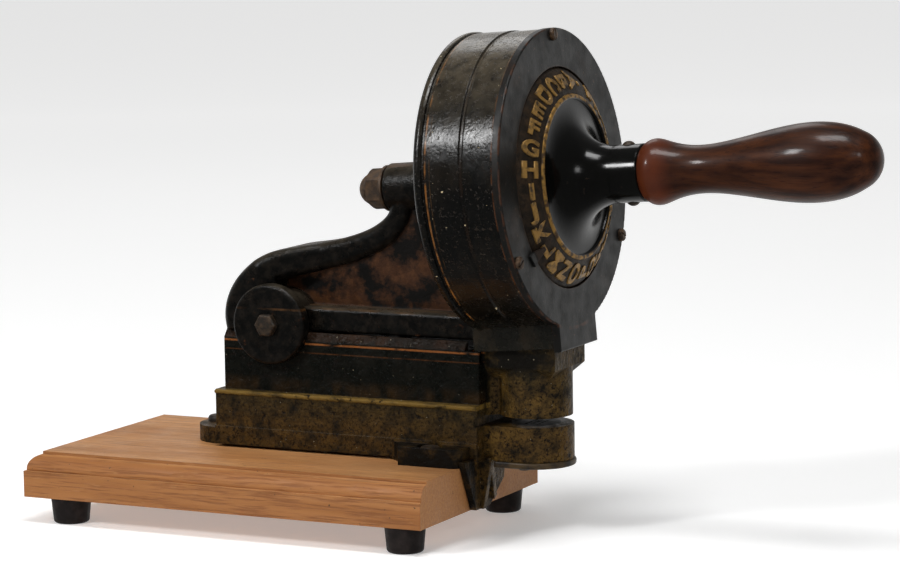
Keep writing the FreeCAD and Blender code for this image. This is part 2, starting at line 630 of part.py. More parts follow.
def hub_bell():
    """Trumpet-shaped hub with a rounded lip, running out into the tube that holds the grip."""
    flare = 24.0
    turn = flare * (1 - math.sqrt(0.5))
    centre_s = 30.5
    bell = spin([(0, SPINDLE_R), (0, BELL_R), (6.2, BELL_R), (8.2, BELL_R - 1.4, 6.6, BELL_R - 3.0),
                 (centre_s - flare, TUBE_R + flare),
                 (centre_s - flare + turn, TUBE_R + turn, centre_s, TUBE_R),
                 (TUBE_END - 0.8, TUBE_R), (TUBE_END, TUBE_R - 0.8), (TUBE_END, 9.0), (28, 9.0),
                 (28, 0), (16, 0), (16, SPINDLE_R)])
    return tilted(bell.cut(RIVET_HOLE))


RIVET_S = 38.0
RIVET_HOLE = Part.makeCylinder(2.0, 60, V(RIVET_S, 0, -30), V(0, 0, 1))


def handle_rivet():
    """Cross pin through the tube and the spigot of the grip, with a domed head at each end."""
    tube = Part.makeCylinder(TUBE_R, 60, V(0, 0, 0), V(1, 0, 0))
    heads = []
    for side in (-1, 1):
        ball = Part.makeSphere(4.0, V(RIVET_S, 0, side * (TUBE_R - 2.2)))
        z = sorted((side * (TUBE_R - 0.4), side * 30))
        heads.append(ball.common(box((0, 60), both(10), z)).cut(tube))
    end = Part.makeCylinder(2.0, 2 * TUBE_R + 1, V(RIVET_S, 0, -TUBE_R - 0.5), V(0, 0, 1))
    return tilted(join(end, *heads))


def wooden_grip():
    """Turned grip: bead, slim waist and long swell, with a spigot into the hub's tube."""
    back = TUBE_END + 0.2
    middle_s, middle_r, tip_s, tip_r = cap(GRIP_CAP_S, GRIP_CAP_R, GRIP_END)
    side = curve([(back, 14.4), (54, 17.3), (61, 15.4), (74, 12.7), (96, 14.3), (115, 17.8),
                  (138, 20.5), (157, 18.2), (GRIP_CAP_S, GRIP_CAP_R)])
    end = Part.Arc(on_xz(GRIP_CAP_S, GRIP_CAP_R), on_xz(middle_s, middle_r),
                   on_xz(tip_s, tip_r)).toShape()
    edges = [side, end, Part.makeLine(on_xz(GRIP_END, 0), on_xz(29, 0)),
             Part.makeLine(on_xz(29, 0), on_xz(29, 8.9)),
             Part.makeLine(on_xz(29, 8.9), on_xz(back, 8.9)),
             Part.makeLine(on_xz(back, 8.9), on_xz(back, 14.4))]
    grip = Part.Face(Part.Wire(edges)).revolve(V(0, 0, 0), V(1, 0, 0), 360)
    return tilted(grip.cut(RIVET_HOLE))


def spindle():
    shaft = rod(SPINDLE_R, (NUT_REAR + 2.4, 0, 0), (15.9, 0, 0))
    return tilted(shaft)


NUT_FRONT, NUT_REAR, NUT_CORNER = -104.4, -113.8, 11.0


def nut_washer():
    return tilted(spin([(-102.8, SPINDLE_R + RUN), (-102.8, 12.4), (NUT_FRONT, 12.4),
                        (NUT_FRONT, SPINDLE_R + RUN)]))


def dome_nut():
    corners = [(NUT_CORNER * math.cos(math.radians(60 * k + 30)),
                NUT_CORNER * math.sin(math.radians(60 * k + 30))) for k in range(6)]
    prism = slab_x(corners, (NUT_REAR, NUT_FRONT))
    bevel, wide = 1.6, NUT_CORNER + 0.6
    trim = spin([(NUT_FRONT, 0), (NUT_FRONT, wide - bevel), (NUT_FRONT - bevel, wide),
                 (NUT_REAR + bevel, wide), (NUT_REAR, wide - bevel), (NUT_REAR, 0)])
    dome = spin([(NUT_REAR + 1, 0), (NUT_REAR + 1, 8.2), (NUT_REAR - 1.5, 8.2),
                 cap(NUT_REAR - 1.5, 8.2, NUT_REAR - 7.0)])
    nut = join(prism.common(trim), dome)
    return tilted(nut.cut(rod(SPINDLE_R + RUN, (NUT_REAR + 2, 0, 0), (-90, 0, 0))))


# ---- Every piece of the press, each its own file ----

PIECES = {
    "wooden_board": wooden_board, "rubber_feet": rubber_feet, "foot_screws": foot_screws,
    "base_casting": base_casting, "base_screws": base_screws, "pivot_shaft": pivot_shaft,
    "near_pivot_disc": lambda: pivot_disc(-1), "far_pivot_disc": lambda: pivot_disc(1),
    "near_pivot_bolt": lambda: pivot_bolt(-1), "far_pivot_bolt": lambda: pivot_bolt(1),
    "pin_guide": pin_guide, "die_plate": die_plate, "chip_cover": chip_cover,
    "cover_screws": cover_screws, "spring_post": spring_post, "return_spring": return_spring,
    "perforating_pins": perforating_pins, "pin_plate": pin_plate, "pin_spring": pin_spring,
    "arm_casting": arm_casting, "boss_bush": boss_bush, "boss_set_screw": boss_set_screw,
    "drum_shell": drum_shell, "drum_screws": drum_screws, "face_plate": face_plate,
    "face_screws": face_screws, "index_pointer": index_pointer, "detent_leaf": detent_leaf,
    "punch_wheel": punch_wheel, "letter_blocks": letter_blocks, "letter_dial": letter_dial,
    "hub_bell": hub_bell, "handle_rivet": handle_rivet, "wooden_grip": wooden_grip,
    "spindle": spindle, "nut_washer": nut_washer, "dome_nut": dome_nut,
}

GRIP_BALL_R = cap_radius(GRIP_END - GRIP_CAP_S, GRIP_CAP_R)
GRIP_TIP_X = dial_point(GRIP_END - GRIP_BALL_R, 0)[0] + GRIP_BALL_R
ORIGIN_X = (BOARD_X[0] + GRIP_TIP_X) / 2
ORIGIN_Y = (BOARD_Y[0] + BEAD_R) / 2


def main():
    os.makedirs("parts", exist_ok=True)
    for name, make in PIECES.items():
        shape = make()
        shape.translate(V(-ORIGIN_X, -ORIGIN_Y, 0))
        solids = len(shape.Solids)
        print(f"{name:18} solids {solids:3} valid {shape.isValid()} volume {shape.Volume / 1000:9.2f} cm3")
        shape.exportStep(f"parts/{name}.step")
    print(f"origin at X {ORIGIN_X:.3f}, Y {ORIGIN_Y:.3f} of the press")


if __name__ == "__main__":
    main()
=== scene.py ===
import json
import math

import bmesh
import bpy
from mathutils import Matrix, Vector


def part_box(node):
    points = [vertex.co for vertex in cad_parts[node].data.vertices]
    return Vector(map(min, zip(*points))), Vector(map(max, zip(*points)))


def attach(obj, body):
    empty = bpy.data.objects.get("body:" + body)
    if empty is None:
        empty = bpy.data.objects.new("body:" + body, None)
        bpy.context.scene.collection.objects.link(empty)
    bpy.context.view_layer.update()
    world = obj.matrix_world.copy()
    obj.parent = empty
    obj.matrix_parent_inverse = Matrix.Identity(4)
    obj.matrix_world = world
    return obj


bl_info = {
    "name": "Letter perforating press",
    "version": (1, 0, 0),
    "blender": (4, 5, 0),
    "location": "View3D > Sidebar > Press",
    "description": "Finishes, raised letters, painted lines and studio of a lever perforating press",
    "category": "Add Mesh",
}

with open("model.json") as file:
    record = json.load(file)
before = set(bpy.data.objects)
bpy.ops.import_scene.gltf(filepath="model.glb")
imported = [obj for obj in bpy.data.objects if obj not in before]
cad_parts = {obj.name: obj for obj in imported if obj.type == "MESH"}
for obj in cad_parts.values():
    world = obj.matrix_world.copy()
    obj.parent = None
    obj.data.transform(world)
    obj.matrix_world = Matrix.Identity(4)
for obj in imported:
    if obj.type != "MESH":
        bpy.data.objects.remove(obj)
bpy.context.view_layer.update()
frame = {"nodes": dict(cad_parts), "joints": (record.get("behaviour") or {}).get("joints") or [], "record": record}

MM = 0.001


# ---- Places read from the frame ----

def joint(name):
    """The frame's facts on one joint."""
    return next(one for one in frame["joints"] if one["name"] == name)


DIAL_CENTRE = Vector(joint("dial_turn")["pos_m"])
DIAL_AXIS = Vector(joint("dial_turn")["axis"]).normalized()
DIAL_TILT = math.asin(DIAL_AXIS.z)
MIDDLE_Y = DIAL_CENTRE.y
DIAL_FRAME = Matrix.Translation(DIAL_CENTRE) @ Matrix.Rotation(-DIAL_TILT, 4, "Y")

BOARD_TOP_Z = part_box("wooden_board")[1].z
BASE_LOW_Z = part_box("base_casting")[0].z
THROAT = frame["record"]["physics"]["openings"][0]["box_m"]
WALL_X = THROAT[0][0] - 0.7 * MM           # front wall of the base, behind the round head
FOOT_TOP_Z = BASE_LOW_Z + 27.6 * MM        # top of the base's three screwed feet
LEDGE_Z = BOARD_TOP_Z + 31.5 * MM          # gilt moulding round the base
HEAD_DARK_Z = BOARD_TOP_Z + 49 * MM       # the round head's sides are darker above this
PANEL_TOP_Z = BOARD_TOP_Z + 59.8 * MM      # top edge of the dark side panels
EAR_Y = 29.6 * MM                          # the pivot's ears stand further out than this
WEB_HALF_Y = 6.6 * MM                      # the lever's thin web lies within this of the middle
CHORD_TOP_Z = PANEL_TOP_Z + 19.5 * MM      # top of the lever's straight lower bar
SLEEVE_TOP_Z = PANEL_TOP_Z + 16 * MM       # top of the sleeve below the drum

# Distances from the dial's axis, and the letter ring's profile as radius and height in mm.
HUB_LIP_R = 41.3 * MM                      # inner edge of the hub's gilded lip
PLATE_HOLE_R = 58.7 * MM                   # bore of the face plate, round the letter ring
PLATE_RIM_R = 77.8 * MM                    # inner edge of the worn rim of the face plate
RING_OUT, RING_MIDDLE, RING_IN = (57.3, -0.4), (50.6, 4.2), (43.5, 7.0)

LETTER_MARKS = "ABCDEFGHIJKLMNOPQRSTUVWXYZ&."
CAPITAL_SHARE = 0.7                        # height of a capital over its type size
LETTER_SWELL = 0.26 * MM                   # how far a letter's outline is thickened
LETTER_BEVEL = 0.16 * MM


def linear(code):
    """Colour of an sRGB hex code in the linear values that Blender's sockets and settings take."""
    values = [int(code[index:index + 2], 16) / 255 for index in (1, 3, 5)]
    return tuple(v / 12.92 if v <= 0.04045 else ((v + 0.055) / 1.055) ** 2.4 for v in values)


# ---- Settings that a user would change ----

def colour(name, code, description):
    """A colour that a user can change, with its default given as an sRGB hex code."""
    return bpy.props.FloatVectorProperty(name=name, description=description, subtype="COLOR",
                                         size=3, min=0, max=1, default=linear(code))


class PressFinishes(bpy.types.PropertyGroup):
    japan: colour("Japan black", "#060605", "Stoved black japan of the drum, lever and hub")
    bronze: colour("Bronze green", "#3E331B", "Dirty bronze-green paint of the base casting")
    bronze_low: colour("Browned paint", "#4E391A", "Paint of the base's lower band, browned by handling")
    panel: colour("Panel", "#0A0C09", "Green-black paint of the base's side panels")
    rust: colour("Rust", "#3C2312", "Iron that shows rusty through worn paint")
    gilt: colour("Gilt", "#9A763C", "Worn bronze-powder gilding of lines, letters and bead")
    orange: colour("Lining", "#94582A", "Orange-brown painted lines")
    plate: colour("Face plate", "#131311", "Rubbed black of the flat ring round the dial")
    oak: colour("Oak", "#B57B45", "Planed and oiled oak of the board")
    oak_dark: colour("Oak grain", "#8E5F39", "Open grain and pores of the board")
    grip: colour("Grip", "#220F07", "Stained hardwood of the grip under its varnish")
    grip_light: colour("Grip figure", "#472510", "Lighter figure and worn places of the grip")
    rubber: colour("Rubber", "#1E1918", "Brown-black rubber of the feet")


class PressLetters(bpy.types.PropertyGroup):
    height: bpy.props.FloatProperty(name="Height", description="Height of a letter along the ring",
                                    default=8.2 * MM, unit="LENGTH")
    stretch: bpy.props.FloatProperty(name="Stretch", description="Width of a letter over its own width",
                                     default=1.3)
    relief: bpy.props.FloatProperty(name="Relief", description="How far a letter stands out of the ring",
                                    default=0.8 * MM, unit="LENGTH")
    first: bpy.props.FloatProperty(name="First letter", description="Angle of the A from the dial's top",
                                   default=math.radians(-9.7), subtype="ANGLE")


class PressView(bpy.types.PropertyGroup):
    azimuth: bpy.props.FloatProperty(name="Azimuth", description="How far right of square-on the view is",
                                     default=math.radians(26.45), subtype="ANGLE")
    elevation: bpy.props.FloatProperty(name="Elevation", description="Angle of the view down from level",
                                       default=math.radians(7.53), subtype="ANGLE")
    roll: bpy.props.FloatProperty(name="Roll", description="Small lean of the camera",
                                  default=math.radians(-0.785), subtype="ANGLE")
    distance: bpy.props.FloatProperty(name="Distance", description="From the camera to the view's middle",
                                      default=1.84, unit="LENGTH")
    lens: bpy.props.FloatProperty(name="Lens", description="Focal length in mm, for a 36 mm wide sensor",
                                  default=137.87)
    left: bpy.props.FloatProperty(name="Left of dial", description="View's middle, behind the dial face",
                                  default=67.9 * MM, unit="LENGTH")
    below: bpy.props.FloatProperty(name="Below dial", description="View's middle, below the dial axis",
                                   default=60.7 * MM, unit="LENGTH")


# ---- Building materials ----

def add(tree, kind, inputs=None, **settings):
    """Adds a node, gives it its settings, and links or sets its inputs."""
    node = tree.nodes.new(kind)
    for name, value in settings.items():
        setattr(node, name, value)
    for name, value in (inputs or {}).items():
        if isinstance(value, bpy.types.NodeSocket):
            tree.links.new(value, node.inputs[name])
        else:
            node.inputs[name].default_value = value
    return node


def start(name):
    """Empty material with its principled shader and the frame's own coordinates."""
    material = bpy.data.materials.new(name)
    material.use_nodes = True
    tree = material.node_tree
    shader = next(node for node in tree.nodes if node.type == "BSDF_PRINCIPLED")
    place = add(tree, "ShaderNodeTexCoord").outputs["Object"]
    return material, tree, shader, place


def blotches(tree, place, size, low, high, stretch=(1, 1, 1), shift=0.0, detail=4.0, rough=0.55):
    """Patches about size millimetres across: 0 where the noise is under low, 1 where it is over high."""
    scale = [part * 1000.0 / size for part in stretch]
    spot = add(tree, "ShaderNodeMapping", {"Vector": place, "Scale": scale,
                                           "Location": (shift, shift * 0.7, shift * 1.3)})
    noise = add(tree, "ShaderNodeTexNoise", {"Vector": spot.outputs[0], "Scale": 1.0,
                                             "Detail": detail, "Roughness": rough})
    return add(tree, "ShaderNodeMapRange", {"Value": noise.outputs["Fac"], "From Min": low,
                                            "From Max": high}).outputs[0]


def over(tree, below, top, *masks):
    """A colour laid over another, as far as every mask lets it. A mask may be a plain number."""
    amount = masks[0]
    for mask in masks[1:]:
        amount = add(tree, "ShaderNodeMath", {0: amount, 1: mask}, operation="MULTIPLY").outputs[0]
    top = top if isinstance(top, bpy.types.NodeSocket) else (*top, 1.0)
    below = below if isinstance(below, bpy.types.NodeSocket) else (*below, 1.0)
    return add(tree, "ShaderNodeMix", {0: amount, 6: below, 7: top}, data_type="RGBA").outputs[2]


def between(tree, value, low, high, soft=0.0002):
    """1 where a coordinate lies between two limits, with edges softened over a short run."""
    rise = add(tree, "ShaderNodeMapRange", {"Value": value, "From Min": low - soft,
                                            "From Max": low + soft})
    fall = add(tree, "ShaderNodeMapRange", {"Value": value, "From Min": high + soft,
                                            "From Max": high - soft})
    return add(tree, "ShaderNodeMath", {0: rise.outputs[0], 1: fall.outputs[0]},
               operation="MULTIPLY").outputs[0]


def dial_distances(tree, place):
    """Distance along the dial axis from the dial face, and distance from that axis."""
    away = add(tree, "ShaderNodeVectorMath", {0: place, 1: tuple(DIAL_CENTRE)}, operation="SUBTRACT")
    along = add(tree, "ShaderNodeVectorMath", {0: away.outputs[0], 1: tuple(DIAL_AXIS)},
                operation="DOT_PRODUCT").outputs["Value"]
    cross = add(tree, "ShaderNodeVectorMath", {0: away.outputs[0], 1: tuple(DIAL_AXIS)},
                operation="CROSS_PRODUCT")
    radius = add(tree, "ShaderNodeVectorMath", {0: cross.outputs[0]}, operation="LENGTH").outputs["Value"]
    return along, radius


def facing(tree):
    """The three parts of the direction that the surface faces."""
    normal = add(tree, "ShaderNodeNewGeometry").outputs["Normal"]
    return add(tree, "ShaderNodeSeparateXYZ", {0: normal}).outputs


def top_light_and_dust(tree, place, tone, code, share):
    """The tone made lighter in patches where a face looks up: painted top light, together with a film of dust."""
    up = add(tree, "ShaderNodeMapRange", {"Value": facing(tree)["Z"], "From Min": 0.35,
                                          "From Max": 0.95, "To Max": share}).outputs[0]
    patch = blotches(tree, place, 7, 0.25, 0.6, shift=11.0, detail=6, rough=0.65)
    return over(tree, tone, linear(code), up, patch)


def surface(tree, shader, place, grit, height, edge=0.0, fields=()):
    """Fine relief: grit millimetres between bumps, height in millimetres, edges rounded by edge."""
    spot = add(tree, "ShaderNodeMapping", {"Vector": place, "Scale": (1000.0 / grit,) * 3})
    noise = add(tree, "ShaderNodeTexNoise", {"Vector": spot.outputs[0], "Scale": 1.0, "Detail": 5.0})
    level = noise.outputs["Fac"]
    for field, share in fields:
        level = add(tree, "ShaderNodeMath", {0: field, 1: share, 2: level},
                    operation="MULTIPLY_ADD").outputs[0]
    inputs = {"Height": level, "Distance": height * MM, "Strength": 1.0}
    if edge:
        inputs["Normal"] = add(tree, "ShaderNodeBevel", {"Radius": edge * MM}, samples=4).outputs[0]
    bump = add(tree, "ShaderNodeBump", inputs)
    tree.links.new(bump.outputs[0], shader.inputs["Normal"])


def roughness(tree, shader, place, size, smooth, dull, shift=0.0, extra=None):
    """Roughness that wanders between smooth and dull over patches of size millimetres."""
    patch = blotches(tree, place, size, 0.35, 0.68, shift=shift)
    value = add(tree, "ShaderNodeMapRange", {"Value": patch, "To Min": smooth, "To Max": dull}).outputs[0]
    if extra is not None:
        value = add(tree, "ShaderNodeMath", {0: extra, 1: 0.35, 2: value}, operation="MULTIPLY_ADD",
                    use_clamp=True).outputs[0]
    tree.links.new(value, shader.inputs["Roughness"])


def oak_planed_oiled(look):
    # Open-grained oak, planed and oiled: long pale and tan streaks, dark pores drawn along the board
    # and a dull sheen. Pores are about 0.4 mm wide, drawn at 0.8 mm so that they show.
    material, tree, shader, place = start("oak_planed_oiled")
    streak = blotches(tree, place, 11, 0.3, 0.72, stretch=(0.05, 1, 1), detail=5)
    ring = blotches(tree, place, 34, 0.44, 0.58, stretch=(0.1, 1, 1.6), shift=4.0, detail=3)
    pore = blotches(tree, place, 1.0, 0.5, 0.64, stretch=(0.045, 1, 1), shift=9.0, detail=3)
    fleck = blotches(tree, place, 3.4, 0.64, 0.72, stretch=(0.3, 1.4, 1.4), shift=2.0, detail=2)
    dirt = blotches(tree, place, 2.6, 0.71, 0.74, shift=5.0, detail=3)
    dust = blotches(tree, place, 70, 0.35, 0.75, shift=7.0)
    end_pore = blotches(tree, place, 1.6, 0.35, 0.7, shift=6.0)
    turned = facing(tree)
    end_face = between(tree, turned["X"], 0.9, 1.2, soft=0.02)
    side_grain = add(tree, "ShaderNodeMath", {0: 1.0, 1: end_face}, operation="SUBTRACT").outputs[0]
    top_face = between(tree, turned["Z"], 0.9, 1.2, soft=0.02)
    near_side_painted_shade = between(tree, turned["Y"], -1.2, -0.3, soft=0.3)
    tone = over(tree, look.oak, linear("#C9905A"), streak)
    tone = over(tree, tone, linear("#9C6636"), ring, 0.75, side_grain)
    tone = over(tree, tone, look.oak_dark, pore, 0.9, side_grain)
    tone = over(tree, tone, linear("#CC9A66"), fleck, 0.45, side_grain)
    end_tone = over(tree, linear("#B07A46"), linear("#9C683C"), end_pore)
    tone = over(tree, tone, end_tone, end_face)
    # Faces turned to the near side are tinted darker and warmer: painted shade, not a colour of the oak.
    tone = over(tree, tone, linear("#7A4008"), near_side_painted_shade, 0.56)
    tone = over(tree, tone, linear("#BC966A"), dust, 0.3, top_face)
    tone = over(tree, tone, linear("#4A3420"), dirt)
    tree.links.new(tone, shader.inputs["Base Color"])
    shader.inputs["Specular IOR Level"].default_value = 0.35
    roughness(tree, shader, place, 14, 0.46, 0.62)
    surface(tree, shader, place, 0.9, 0.12, edge=0.5, fields=[(pore, -1.2), (streak, 0.3)])
    return material


def hardwood_turned_varnished(look):
    # Red-stained hardwood, turned and varnished: dark, warm, fine long figure under a clear gloss that
    # is worn matt where the hand rubs.
    material, tree, shader, place = start("hardwood_turned_varnished")
    along, _ = dial_distances(tree, place)
    figure = blotches(tree, place, 5, 0.36, 0.66, stretch=(0.09, 1, 1), detail=6)
    cloud = blotches(tree, place, 34, 0.4, 0.66, shift=3.0)
    pore = blotches(tree, place, 0.9, 0.56, 0.72, stretch=(0.08, 1, 1), shift=8.0, detail=2)
    collar = between(tree, along, 40 * MM, 62 * MM, soft=4 * MM)
    tone = over(tree, look.grip, look.grip_light, figure)
    tone = over(tree, tone, linear("#1C0906"), cloud, 0.55)
    tone = over(tree, tone, linear("#180806"), pore, 0.7)
    tone = over(tree, tone, linear("#5E2A14"), collar, 0.55)
    tree.links.new(tone, shader.inputs["Base Color"])
    shader.inputs["Specular IOR Level"].default_value = 0.12
    shader.inputs["Coat Weight"].default_value = 0.2
    shader.inputs["Coat Roughness"].default_value = 0.14
    roughness(tree, shader, place, 20, 0.3, 0.5)
    surface(tree, shader, place, 1.6, 0.05, fields=[(pore, -0.8)])
    return material


def rubber_moulded(look):
    # Moulded brown-black rubber: matt, faintly mottled with dust, no sharp shine.
    material, tree, shader, place = start("rubber_moulded_brown_black")
    dust = blotches(tree, place, 6, 0.45, 0.8)
    tone = over(tree, look.rubber, linear("#332B28"), dust)
    tree.links.new(tone, shader.inputs["Base Color"])
    shader.inputs["Specular IOR Level"].default_value = 0.18
    roughness(tree, shader, place, 5, 0.5, 0.7)
    surface(tree, shader, place, 0.5, 0.05, edge=0.3)
    return material


def iron_bronze_painted(look):
    # Cast iron under old bronze-green paint: grainy, dirty and satin, browned low down, with chips to
    # bare dark iron, pale paint specks, black-green side panels and worn gilt lining.
    material, tree, shader, place = start("cast_iron_painted_bronze_green")
    x, y, z = add(tree, "ShaderNodeSeparateXYZ", {0: place}).outputs
    grime = blotches(tree, place, 9, 0.42, 0.66, detail=7, rough=0.7)
    fine_grime = blotches(tree, place, 1.9, 0.5, 0.62, shift=3.0, detail=5, rough=0.75)
    worn = blotches(tree, place, 4.5, 0.6, 0.66, shift=6.0, detail=6, rough=0.7)
    chip = blotches(tree, place, 1.6, 0.735, 0.75, shift=2.0, detail=3)
    big_chip = blotches(tree, place, 13, 0.62, 0.66, shift=8.0, detail=6, rough=0.6)
    warm = blotches(tree, place, 26, 0.35, 0.6, shift=4.0)
    low_band = between(tree, z, 0.0, LEDGE_Z - 8 * MM, soft=10 * MM)
    tone = over(tree, look.bronze, look.bronze_low, low_band)
    front = between(tree, x, WALL_X + 1 * MM, 1.0, soft=1 * MM)
    tone = over(tree, tone, linear("#624920"), warm, 0.75, front)
    tone = over(tree, tone, linear("#15120B"), grime)
    tone = over(tree, tone, linear("#0D0B08"), fine_grime)
    panel_z = between(tree, z, LEDGE_Z + 0.4 * MM, PANEL_TOP_Z + 6 * MM, soft=0.4 * MM)
    panel_x = between(tree, x, -1.0, WALL_X + 0.6 * MM, soft=0.5 * MM)
    panel = add(tree, "ShaderNodeMath", {0: panel_z, 1: panel_x}, operation="MULTIPLY").outputs[0]
    panel_tone = over(tree, look.panel, linear("#12110C"), grime)
    stain = blotches(tree, place, 11, 0.42, 0.62, stretch=(1, 1, 0.5), shift=5.0, detail=6)
    low_panel = between(tree, z, LEDGE_Z, LEDGE_Z + 5 * MM, soft=4 * MM)
    panel_tone = over(tree, panel_tone, linear("#33230F"), stain, low_panel)
    tone = over(tree, tone, panel_tone, panel)
    rub = blotches(tree, place, 7, 0.38, 0.52, stretch=(0.5, 1, 1), shift=1.0, detail=5)
    for low, high, share in ((PANEL_TOP_Z - 1.5 * MM, PANEL_TOP_Z - 0.5 * MM, 0.65),
                             (PANEL_TOP_Z - 6.2 * MM, PANEL_TOP_Z - 5.6 * MM, 0.18)):
        tone = over(tree, tone, look.orange, between(tree, z, low, high), share, rub, panel)
    kerb = between(tree, z, PANEL_TOP_Z + 0.5 * MM, PANEL_TOP_Z + 6 * MM, soft=0.3 * MM)
    tone = over(tree, tone, over(tree, linear("#17110B"), linear("#2A1A0F"), stain), kerb, panel)
    ledge = between(tree, z, LEDGE_Z - 2.5 * MM, LEDGE_Z + 0.1 * MM)
    behind = between(tree, x, -1.0, WALL_X + 1 * MM)
    tone = over(tree, tone, linear("#86692F"), ledge, 0.6, behind, rub)
    beside = add(tree, "ShaderNodeMath", {0: facing(tree)["Y"]}, operation="ABSOLUTE").outputs[0]
    beside = between(tree, beside, 0.55, 1.2, soft=0.15)
    dark = blotches(tree, place, 15, 0.3, 0.5, shift=3.5, detail=6)
    above = between(tree, z, HEAD_DARK_Z, 1.0, soft=3 * MM)
    # The sides of the round head are made near-black above a set height, in patches.
    tone = over(tree, tone, linear("#110F0B"), above, front, beside, dark)
    outside = add(tree, "ShaderNodeMath", {0: y, 1: MIDDLE_Y}, operation="SUBTRACT").outputs[0]
    outside = add(tree, "ShaderNodeMath", {0: outside}, operation="ABSOLUTE").outputs[0]
    ear = between(tree, outside, EAR_Y, 1.0)
    tone = over(tree, tone, linear("#100E0B"), ear, dark)
    foot = between(tree, z, 0.0, FOOT_TOP_Z, soft=2 * MM)
    tone = over(tree, tone, linear("#0E0B09"), big_chip, foot)
    tone = over(tree, tone, linear("#120E0B"), worn)
    tone = over(tree, tone, linear("#B9AF97"), chip)
    tree.links.new(tone, shader.inputs["Base Color"])
    shader.inputs["Specular IOR Level"].default_value = 0.11
    value = add(tree, "ShaderNodeMapRange", {"Value": grime, "To Min": 0.34, "To Max": 0.6}).outputs[0]
    value = add(tree, "ShaderNodeMath", {0: panel, 1: -0.1, 2: value}, operation="MULTIPLY_ADD").outputs[0]
    tree.links.new(value, shader.inputs["Roughness"])
    rough_cast = blotches(tree, place, 3.0, 0.2, 0.8, shift=7.0, detail=3)
    surface(tree, shader, place, 0.9, 0.36, edge=1.1, fields=[(rough_cast, 1.2), (worn, -0.5)])
    return material


def iron_japanned_lever(look):
    # Cast iron, japanned black: wet-looking lumpy gloss on the rim and chord, rubbed through to
    # rust-brown iron over the thin web with islands of black left.
    material, tree, shader, place = start("cast_iron_japanned_lever")
    _, y, z = add(tree, "ShaderNodeSeparateXYZ", {0: place}).outputs
    thin = between(tree, y, MIDDLE_Y - WEB_HALF_Y, MIDDLE_Y + WEB_HALF_Y, soft=0.3 * MM)
    clear = between(tree, z, PANEL_TOP_Z + 8 * MM, 1.0, soft=3 * MM)
    web = add(tree, "ShaderNodeMath", {0: thin, 1: clear}, operation="MULTIPLY").outputs[0]
    island = blotches(tree, place, 17, 0.45, 0.56, shift=2.0, detail=7, rough=0.65)
    grime = blotches(tree, place, 5, 0.45, 0.7, shift=5.0, detail=6, rough=0.7)
    scuff = blotches(tree, place, 6, 0.64, 0.7, shift=9.0, detail=6, rough=0.7)
    tone = over(tree, look.japan, linear("#1D1813"), grime)
    tone = over(tree, tone, look.rust, scuff)
    web_tone = over(tree, look.rust, linear("#55351C"), grime)
    web_tone = over(tree, web_tone, linear("#0C0A08"), island)
    tone = over(tree, tone, web_tone, web)
    chord = between(tree, z, 0.0, CHORD_TOP_Z, soft=0.5 * MM)
    rub = blotches(tree, place, 8, 0.45, 0.62, stretch=(0.4, 1, 1), shift=1.0, detail=5)
    edge_line = between(tree, z, CHORD_TOP_Z - 2.3 * MM, CHORD_TOP_Z - 1.1 * MM)
    tone = over(tree, tone, linear("#4A3119"), edge_line, rub, chord)
    # Faces that look up are made lighter: painted top light, with dust.
    tone = top_light_and_dust(tree, place, tone, "#4A4236", 0.6)
    tree.links.new(tone, shader.inputs["Base Color"])
    shader.inputs["Specular IOR Level"].default_value = 0.18
    dull = add(tree, "ShaderNodeMath", {0: web, 1: 0.5}, operation="MULTIPLY").outputs[0]
    roughness(tree, shader, place, 10, 0.24, 0.42, extra=dull)
    lumps = blotches(tree, place, 6.0, 0.2, 0.8, shift=7.0, detail=3)
    surface(tree, shader, place, 1.0, 0.16, edge=1.4, fields=[(lumps, 2.0), (island, 0.25)])
    return material


# Lines round the drum: from and to behind the dial's face in mm, colour, and how much of it is left.
DRUM_LINES = (
    (-42.4, -41.4, "#7A4E22", 0.75),
    (-39.6, -39.2, "#54391B", 0.4),
    (-22.9, -21.2, "#1E150E", 0.8),
    (-4.9, -4.0, "#4A2C17", 0.9),
)


def drum_japanned(look):
    # Turned iron drum, stove-japanned: deep glossy black with fine dust and dirt specks, a painted top light with
    # dust on faces that look up, a gilt line and groove near the rear bead, and a front lip worn to brown.
    material, tree, shader, place = start("turned_iron_japanned_drum")
    along, _ = dial_distances(tree, place)
    speck = blotches(tree, place, 1.9, 0.58, 0.66, detail=5, rough=0.75)
    grime = blotches(tree, place, 12, 0.46, 0.7, stretch=(1, 1, 0.5), shift=5.0, detail=7, rough=0.7)
    rub = blotches(tree, place, 9, 0.4, 0.54, shift=1.0, detail=6)
    chip = blotches(tree, place, 3.4, 0.715, 0.725, shift=2.5, detail=4)
    tone = over(tree, look.japan, linear("#17130E"), grime)
    tone = over(tree, tone, linear("#2C231A"), speck)
    for low, high, code, share in DRUM_LINES:
        line = between(tree, along, low * MM, high * MM)
        tone = over(tree, tone, linear(code), line, share, rub)
    height = add(tree, "ShaderNodeSeparateXYZ", {0: place}).outputs["Z"]
    sleeve = between(tree, height, 0.0, SLEEVE_TOP_Z, soft=4 * MM)
    sleeve_tone = over(tree, linear("#171611"), linear("#2C2419"), grime)
    tone = over(tree, tone, sleeve_tone, sleeve)
    # Faces that look up are made lighter: painted top light, with dust.
    tone = top_light_and_dust(tree, place, tone, "#5A5142", 0.75)
    tone = over(tree, tone, linear("#B5A582"), chip)
    tree.links.new(tone, shader.inputs["Base Color"])
    shader.inputs["Specular IOR Level"].default_value = 0.26
    shader.inputs["Coat Weight"].default_value = 0.08
    shader.inputs["Coat Roughness"].default_value = 0.1
    dirty = add(tree, "ShaderNodeMath", {0: speck, 1: 0.8}, operation="MULTIPLY").outputs[0]
    roughness(tree, shader, place, 13, 0.13, 0.32, extra=dirty)
    ripple = blotches(tree, place, 14, 0.2, 0.8, shift=7.0, detail=2)
    surface(tree, shader, place, 1.4, 0.13, edge=0.6, fields=[(ripple, 2.0), (speck, 1.0)])
    return material


